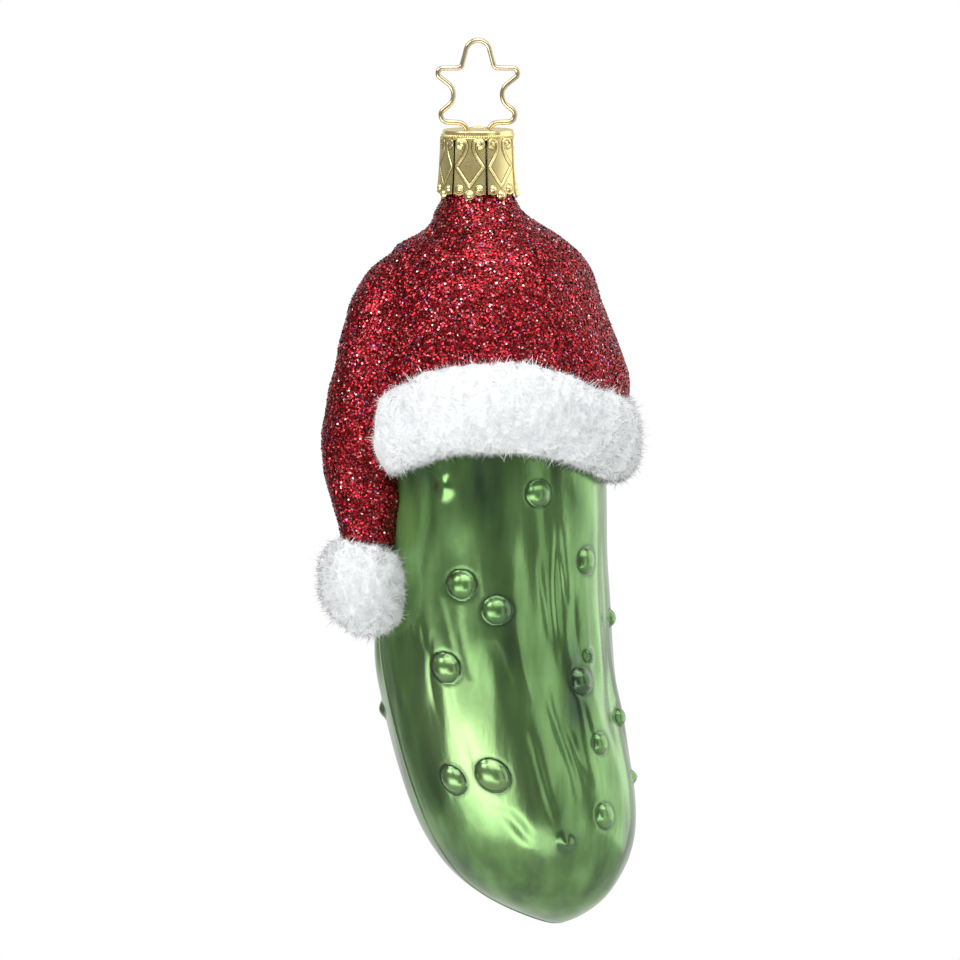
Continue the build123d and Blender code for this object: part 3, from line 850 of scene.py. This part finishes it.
def plated_wire(kit):
    """Spring steel wire with a champagne-gold plate: smooth, with faint cloudy marks 2.4 mm long."""
    material, tree = fresh_material("champagne_plated_wire")
    marks = noise(tree, (420, 420, 420), 1.5)
    return finished(material, {
        "Base Color": ramp(tree, marks, (0.3, kit.wire_shade), (0.65, kit.wire_gold)),
        "Metallic": 1.0, "Roughness": ranged(tree, marks, 0.18, 0.26),
    })


def white_paper(kit):
    """Matt white paper of the sweep: white to the camera, and nearly so to mirrors, as a lit roll is."""
    material, tree = fresh_material("white_sweep")
    # Its tone wanders a little over 17 mm
    fleck = noise(tree, (60, 60, 60), 3.0)
    darker = [part * 0.97 for part in kit.backdrop]
    paper = add(tree, "BsdfDiffuse", {"Color": ramp(tree, fleck, (0.3, darker), (0.7, kit.backdrop))})
    ray = add(tree, "LightPath").outputs
    camera, mirror = ray["Is Camera Ray"], ray["Is Glossy Ray"]
    strength = maths(tree, "MAXIMUM", maths(tree, "MULTIPLY", mirror, 0.7), camera)
    light = add(tree, "Emission", {"Color": (1, 1, 1), "Strength": strength})
    either = maths(tree, "MAXIMUM", camera, mirror)
    return finished(material, {0: either, 1: paper, 2: light}, "MixShader")


# Settings


def length_of(name, text, value):
    """A length in mm."""
    return FloatProperty(name=name, description=text + ", in mm", default=value, min=0.0)


def count_of(name, text, value, most):
    """A number of flakes or fibres, which together stay under 200,000 triangles."""
    return IntProperty(name=name, description=text, default=value, min=0, max=most)


def colour_of(name, text, code):
    """A colour, from its sRGB hex value."""
    return FloatVectorProperty(
        name=name, description=text, default=linear(code), subtype="COLOR", size=3, min=0.0, max=1.0,
    )


class BulbSettings(bpy.types.PropertyGroup):
    furrow_depth: length_of("Furrow depth", "How deep the soft dents of the skin are", FURROW_DEPTH)
    deep_green: colour_of("Deep green", "Lacquer where it ran thick", "#385834")
    middle_green: colour_of("Middle green", "Lacquer over most of the skin", "#64904c")
    # A paler green painted on the belly as a highlight
    thin_green: colour_of("Thin green", "Lacquer on the belly", "#84a868")
    pale_green: colour_of("Pale green", "Lacquer where it is thin", "#8cbc74")


class HatSettings(bpy.types.PropertyGroup):
    fold_softness: length_of("Fold softness", "Reach of the soft valley between dome and tail", 3.4)
    flake_size: length_of("Flake size", "Side of a glitter flake", 0.24)
    dome_flakes: count_of("Dome flakes", "Flakes on the dome", 99000, 99000)
    tail_flakes: count_of("Tail flakes", "Flakes on the tail", 46000, 99000)
    deep_red: colour_of("Deep red", "Darker half of the flakes", "#66070f")
    bright_red: colour_of("Bright red", "Brighter half of the flakes", "#ac0f1c")


class TrimSettings(bpy.types.PropertyGroup):
    brim_height: length_of("Brim half height", "Half of the brim's height without its fibres", 6.4)
    brim_depth: length_of("Brim half depth", "Half of the brim's depth without its fibres", 3.9)
    brim_arch: length_of("Brim arch", "How far the brim rises in front and behind", 2.45)
    brim_tilt: length_of("Brim tilt", "How much more it rises in front than behind", 0.9)
    fibre_length: length_of("Fibre length", "Length of a flock fibre", 1.0)
    fibre_width: length_of("Fibre width", "Width of a flock fibre at its foot", 0.09)
    brim_fibres: count_of("Brim fibres", "Fibres on the brim", 100000, 199000)
    pompom_fibres: count_of("Pompom fibres", "Fibres on the pompom", 24000, 199000)
    flock_white: colour_of("Flock white", "Lit fibres", "#feffff")
    flock_shade: colour_of("Flock shade", "Fibres between the tufts", "#e3e9ee")


class CapSettings(bpy.types.PropertyGroup):
    sheet_thickness: length_of("Sheet thickness", "Thickness of the stamped sheet", 0.22)
    brass: colour_of("Brass", "Bright brass", "#ffeea8")
    brass_shade: colour_of("Brass shade", "Duller brass", "#f0de98")


class WireSettings(bpy.types.PropertyGroup):
    wire_radius: length_of("Wire radius", "Radius of the wire", WIRE_RADIUS)
    wire_gold: colour_of("Wire gold", "Champagne plate", "#e2d3b2")
    wire_shade: colour_of("Wire shade", "Duller plate", "#cbba90")


class StageSettings(bpy.types.PropertyGroup):
    distance: FloatProperty(
        name="Camera distance", description="To the ornament's middle", default=2.0, unit="LENGTH",
    )
    elevation: FloatProperty(
        name="Elevation", description="Angle above the horizon", default=math.radians(5), subtype="ANGLE",
    )
    view_width: FloatProperty(
        name="View width", description="Width that the picture shows", default=0.1373, unit="LENGTH",
    )
    room_level: FloatProperty(name="Room level", description="Light from all round", default=0.29, min=0.0)
    lamp_level: FloatProperty(name="Lamp level", description="Strength of all lamps", default=1.0, min=0.0)
    backdrop: colour_of("Backdrop", "Pale sweep behind and below", "#f4f4f2")


SETTINGS = {
    "ornament_bulb": BulbSettings, "ornament_hat": HatSettings, "ornament_trim": TrimSettings,
    "ornament_cap": CapSettings, "ornament_wire": WireSettings, "ornament_stage": StageSettings,
}


# Operators


class ORNAMENT_OT_bulb(bpy.types.Operator):
    """Makes the lacquered pickle and the silvered neck"""

    bl_idname = "ornament.bulb"
    bl_label = "Glass Bulb"

    def execute(self, context):
        kit = context.scene.ornament_bulb
        grid, *looks = pickle_grid(kit)
        # The two poles, under the brim and at the tip, come after the grid and have none of the looks
        foot, top, matt, thin = (np.concatenate([look.ravel(), [0, 0]]) for look in looks)
        lacquered = green_lacquered_glass(kit)
        # The looks carry painted shade round the bumps' feet and a painted highlight on the belly
        make_piece(
            "pickle_skin", closed_form(grid), lacquered, "glass", "green_glass", ["glass_shell"],
            bump_foot=foot, bump_top=top, matt=matt, thin=thin,
        )
        reach, z = np.array(NECK_PROFILE).T[..., None]
        neck = round_axis(reach, angles(96), z)
        make_piece("neck_glass", closed_ring(neck), silvered_glass(), "glass", "green_glass")
        return {"FINISHED"}


class ORNAMENT_OT_hat(bpy.types.Operator):
    """Makes the hat's dome and tail and strews glitter on them"""

    bl_idname = "ornament.hat"
    bl_label = "Glittered Hat"

    def execute(self, context):
        kit = context.scene.ornament_hat
        rng = np.random.default_rng(SEEDS["flakes"])
        lacquer, film = red_lacquer(), glitter_film(kit)
        dome, tail = hat_grid(kit), tail_grid(kit)
        make_piece("hat_dome", closed_form(dome), lacquer, "glass", "red_glitter", ["hat_glitter"])
        make_piece("hat_tail", closed_form(tail), lacquer, "glass", "red_glitter")
        for name, grid, count, lowest in (
            ("dome_flakes", dome, kit.dome_flakes, DOME_FOOT),
            ("tail_flakes", tail, kit.tail_flakes, TAIL_FOOT),
        ):
            shape, tint = flake_faces(grid, count, kit.flake_size, rng, lowest)
            make_piece(name, shape, film, "glass", "red_glitter", smooth=False, tint=tint)
        return {"FINISHED"}


class ORNAMENT_OT_trim(bpy.types.Operator):
    """Makes the brim and the pompom and their flock"""

    bl_idname = "ornament.trim"
    bl_label = "Flocked Trim"

    def execute(self, context):
        kit = context.scene.ornament_trim
        rng = np.random.default_rng(SEEDS["fibres"])
        flock, fibre = nylon_flock(kit), nylon_fibre(kit)
        brim = brim_grid(kit)
        make_piece("brim_roll", closed_ring(brim), flock, "glass", "white_flock", ["brim_flock"])
        ring = np.concatenate([brim, brim[:1]])
        shape, looks = fibre_faces(ring, kit.brim_fibres, kit, rng, lambda p: (p - BRIM_MIDDLE) * [1, 1, 0])
        make_piece("brim_fibres", shape, fibre, "glass", "white_flock", **looks)
        ball = pompom_grid()
        make_piece("pompom_ball", closed_form(ball), flock, "glass", "white_flock", ["pompom_flock"])
        shape, looks = fibre_faces(ball, kit.pompom_fibres, kit, rng, lambda p: p - POMPOM_MIDDLE)
        make_piece("pompom_fibres", shape, fibre, "glass", "white_flock", **looks)
        return {"FINISHED"}


class ORNAMENT_OT_cap(bpy.types.Operator):
    """Makes the stamped crown cap"""

    bl_idname = "ornament.cap"
    bl_label = "Crown Cap"

    def execute(self, context):
        kit = context.scene.ornament_cap
        brass = stamped_brass(kit)
        for number in range(TABS):
            shape, hollow = tab_form(kit, number)
            nodes = ["crown_cap"] if number == 0 else ()
            make_piece(f"cap_tab_{number + 1}", shape, brass, "cap", "gold_cap", nodes, hollow=hollow)
        pearls, hollow = pearl_grid()
        make_piece("cap_pearls", closed_ring(pearls), brass, "cap", "gold_cap", hollow=hollow)
        make_piece("cap_crown", closed_form(crown_grid()), brass, "cap", "gold_cap")
        make_piece("cap_bridge", closed_form(bridge_grid()), brass, "cap", "gold_cap")
        return {"FINISHED"}


class ORNAMENT_OT_wire(bpy.types.Operator):
    """Makes the star-shaped wire"""

    bl_idname = "ornament.wire"
    bl_label = "Star Wire"

    def execute(self, context):
        kit = context.scene.ornament_wire
        path = star_line()
        grid = carried_circle(path, np.full(len(path), kit.wire_radius), 20)
        make_piece("star_wire", closed_form(grid), plated_wire(kit), "hanger", "gold_wire", ["star_hanger"])
        return {"FINISHED"}


# The stage, in metres

VIEW_MIDDLE = Vector((0.00029, 0, -0.0626))
FLOOR_LEVEL = -0.75
# The sweep's wall, and how long and high the bend before it is
WALL = 2.5
BEND = 0.6
# Lamps: name, degrees round from the front, degrees up, distance, width, height, and how bright a white card
# that faces the lamp looks
LAMPS = (
    ("key_low_left", -34, -26, 0.90, 1.05, 0.60, 0.38), ("key_core", -36, -25, 0.88, 0.66, 0.34, 0.17),
    ("key_low_front", 8, -40, 0.90, 0.50, 0.20, 0.08), ("key_high_left", -58, 40, 0.95, 0.45, 0.45, 0.32),
    ("front_high", 24, 53, 1.00, 1.30, 0.75, 0.70), ("front_right", 45, -6, 1.00, 0.44, 0.90, 0.085),
    ("fill_right", 106, 8, 1.00, 1.10, 1.20, 0.44), ("top_soft", 10, 78, 0.90, 0.60, 0.60, 0.30),
)


def sweep_grid(columns=9):
    """The sweep: level under the ornament, then up a quarter of a circle to a wall behind it."""
    t = np.linspace(0, 1, 40) * math.pi / 2
    front = WALL - BEND
    run = np.concatenate([np.linspace(-1.2, front, 12), front + BEND * np.sin(t), np.full(8, WALL)])
    rise = np.concatenate([np.zeros(12), BEND * (1 - np.cos(t)), np.linspace(0.62, 4.2, 8)]) + FLOOR_LEVEL
    # It widens to the back, far enough away that a camera can stand behind the ornament
    wide = np.linspace(-1.0, 2.0, columns) * (1 + 1.3 * np.clip((run - 0.5) / 2, 0, 1))[:, None]
    return np.stack(np.broadcast_arrays(wide, run[:, None], rise[:, None]), -1)


def make_room(level):
    """Lights the world evenly, a little less from below than from above, and keeps it white to the camera."""
    world = bpy.data.worlds.new("room")
    world.use_nodes = True
    tree = world.node_tree
    tree.nodes.clear()
    way = add(tree, "SeparateXYZ", {0: add(tree, "TexCoord").outputs["Generated"]})
    high = add(tree, "MapRange", {
        "Value": way.outputs["Z"], "From Min": -0.6, "From Max": 0.9, "To Min": 0.75, "To Max": 1.3,
    })
    camera = add(tree, "LightPath").outputs["Is Camera Ray"]
    strength = maths(tree, "MAXIMUM", maths(tree, "MULTIPLY", high, level), camera)
    room = add(tree, "Background", {"Color": (1, 1, 1), "Strength": strength})
    add(tree, "OutputWorld", {"Surface": room})
    return world


def place_facing(made, place, towards):
    """Puts a lamp or camera in the scene at a place, looking along a direction."""
    made.location = place
    made.rotation_mode = "QUATERNION"
    made.rotation_quaternion = towards.to_track_quat("-Z", "Y")
    bpy.context.scene.collection.objects.link(made)


class ORNAMENT_OT_stage(bpy.types.Operator):
    """Makes the pale sweep, the soft lamps and the camera"""

    bl_idname = "ornament.stage"
    bl_label = "Stage"

    def execute(self, context):
        kit = context.scene.ornament_stage
        scene = context.scene
        sweep = sweep_grid()
        faces = grid_faces(*sweep.shape[:2], False)[:, ::-1]
        mesh = bpy.data.meshes.new("sweep")
        mesh.from_pydata(sweep.reshape(-1, 3).tolist(), [], faces.tolist())
        mesh.materials.append(white_paper(kit))
        mesh.shade_smooth()
        floor = bpy.data.objects.new("sweep", mesh)
        scene.collection.objects.link(floor)
        scene.world = make_room(kit.room_level)
        for name, turn, up, reach, width, height, level in LAMPS:
            data = bpy.data.lights.new(name, "AREA")
            data.shape, data.size, data.size_y = "RECTANGLE", width, height
            out = Vector((0, -reach, 0))
            out.rotate(Euler((-math.radians(up), 0, math.radians(turn))))
            data.energy = level * kit.lamp_level * (math.pi * reach) ** 2
            place_facing(bpy.data.objects.new(name, data), VIEW_MIDDLE + out, -out)
        data = bpy.data.cameras.new("view")
        data.sensor_width = 36.0
        data.lens = data.sensor_width * kit.distance / kit.view_width
        data.clip_start, data.clip_end = 0.05, 20.0
        camera = bpy.data.objects.new("view", data)
        out = kit.distance * Vector((0, -math.cos(kit.elevation), math.sin(kit.elevation)))
        place_facing(camera, VIEW_MIDDLE + out, -out)
        scene.camera = camera
        scene.view_settings.view_transform = "Standard"
        return {"FINISHED"}


OPERATORS = (
    ORNAMENT_OT_stage, ORNAMENT_OT_bulb, ORNAMENT_OT_hat, ORNAMENT_OT_trim, ORNAMENT_OT_cap, ORNAMENT_OT_wire,
)


class ORNAMENT_PT_panel(bpy.types.Panel):
    """Lists the ornament's pieces and their settings"""

    bl_idname = "ORNAMENT_PT_panel"
    bl_label = "Pickle Ornament"
    bl_space_type = "VIEW_3D"
    bl_region_type = "UI"
    bl_category = "Ornament"

    def draw(self, context):
        for operator in OPERATORS:
            self.layout.operator(operator.bl_idname)
        for key, group in SETTINGS.items():
            box = self.layout.box()
            box.label(text=key.replace("_", " "))
            for name in group.__annotations__:
                box.prop(getattr(context.scene, key), name)


def register():
    for group in SETTINGS.values():
        bpy.utils.register_class(group)
    for key, group in SETTINGS.items():
        setattr(bpy.types.Scene, key, PointerProperty(type=group))
    for operator in OPERATORS:
        bpy.utils.register_class(operator)
    bpy.utils.register_class(ORNAMENT_PT_panel)


def unregister():
    bpy.utils.unregister_class(ORNAMENT_PT_panel)
    for operator in reversed(OPERATORS):
        bpy.utils.unregister_class(operator)
    for key, group in SETTINGS.items():
        delattr(bpy.types.Scene, key)
        bpy.utils.unregister_class(group)


def main():
    register()
    for operator in OPERATORS:
        group, name = operator.bl_idname.split(".")
        getattr(getattr(bpy.ops, group), name)()


if __name__ == "__main__":
    main()
